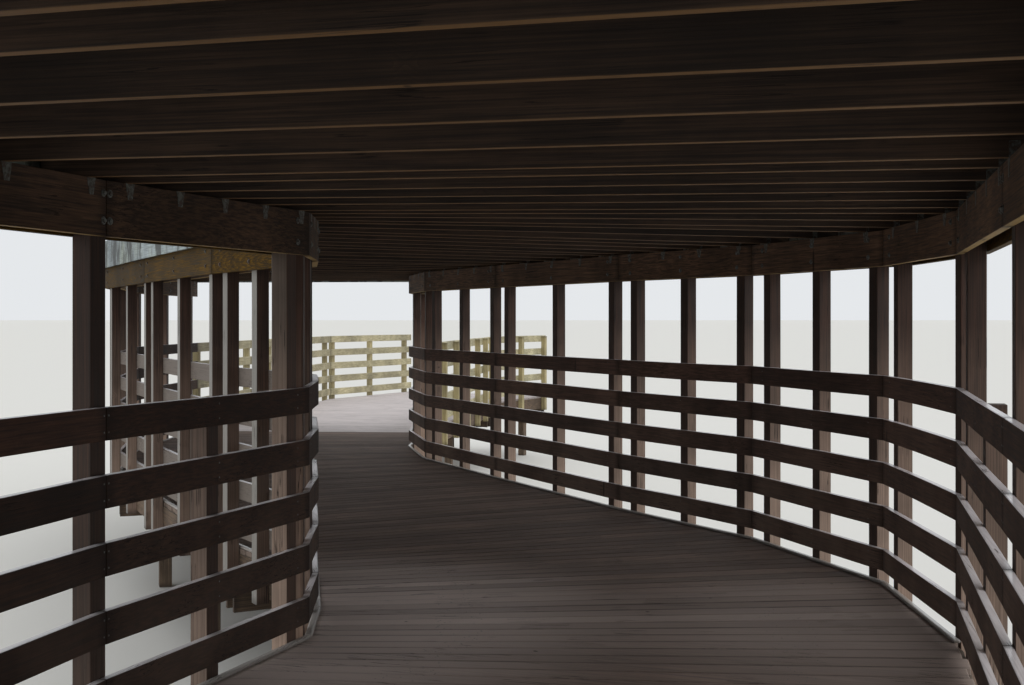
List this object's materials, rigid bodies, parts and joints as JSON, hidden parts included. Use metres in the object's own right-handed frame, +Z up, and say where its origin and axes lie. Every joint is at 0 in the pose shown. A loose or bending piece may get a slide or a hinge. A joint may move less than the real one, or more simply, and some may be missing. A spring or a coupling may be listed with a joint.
{
  "type": "covered bridge",
  "caption": "Covered timber footbridge that winds through an S-bend, with five-board railings on post pairs, a flat joisted roof and an open landing.",
  "frame": {"origin": "middle of the plan's bounding box, at ground level under the piles", "axes": "+Y runs along the walkway, the way the walker looks at the start, +X is to the walker's right, +Z is up"},
  "size_m": [7.8424, 32.6966, 3.94],
  "materials": {
    "pile_timber": "matte",
    "floor_timber": "matte",
    "deck_timber": "matte",
    "open_deck_timber": "matte",
    "strip_timber": "matte",
    "brown_timber": "satin",
    "rail_timber": "satin",
    "fence_timber": "matte",
    "beam_timber": "satin",
    "outer_beam_timber": "matte",
    "roof_timber": "matte",
    "fascia_timber": "matte"
  },
  "bodies": {
    "root": {"piles": "pile_timber", "cap_beams": "floor_timber", "floor_joists": "floor_timber", "rim_joist_left": "floor_timber", "rim_joist_right": "floor_timber", "deck_covered": "deck_timber", "deck_open": "open_deck_timber", "edge_strip_left": "strip_timber", "edge_strip_right": "strip_timber", "posts_left": "brown_timber", "posts_right": "brown_timber", "short_posts_left": "brown_timber", "short_posts_right": "brown_timber", "fence_posts_left": "fence_timber", "fence_posts_right": "fence_timber", "rail_left_1": "rail_timber", "rail_left_2": "rail_timber", "rail_left_3": "rail_timber", "rail_left_4": "rail_timber", "rail_left_5": "rail_timber", "rail_right_1": "rail_timber", "rail_right_2": "rail_timber", "rail_right_3": "rail_timber", "rail_right_4": "rail_timber", "rail_right_5": "rail_timber", "fence_rails_left": "fence_timber", "fence_rails_right": "fence_timber", "inner_beam_left": "beam_timber", "inner_beam_right": "beam_timber", "outer_beam_left": "outer_beam_timber", "outer_beam_right": "outer_beam_timber", "roof_joists_near": "roof_timber", "roof_joists_bend": "roof_timber", "roof_joists_far": "roof_timber", "roof_boards": "roof_timber", "fascia_left": "fascia_timber", "fascia_right": "fascia_timber", "fascia_start": "fascia_timber", "fascia_end": "fascia_timber"}
  },
  "joints": []
}
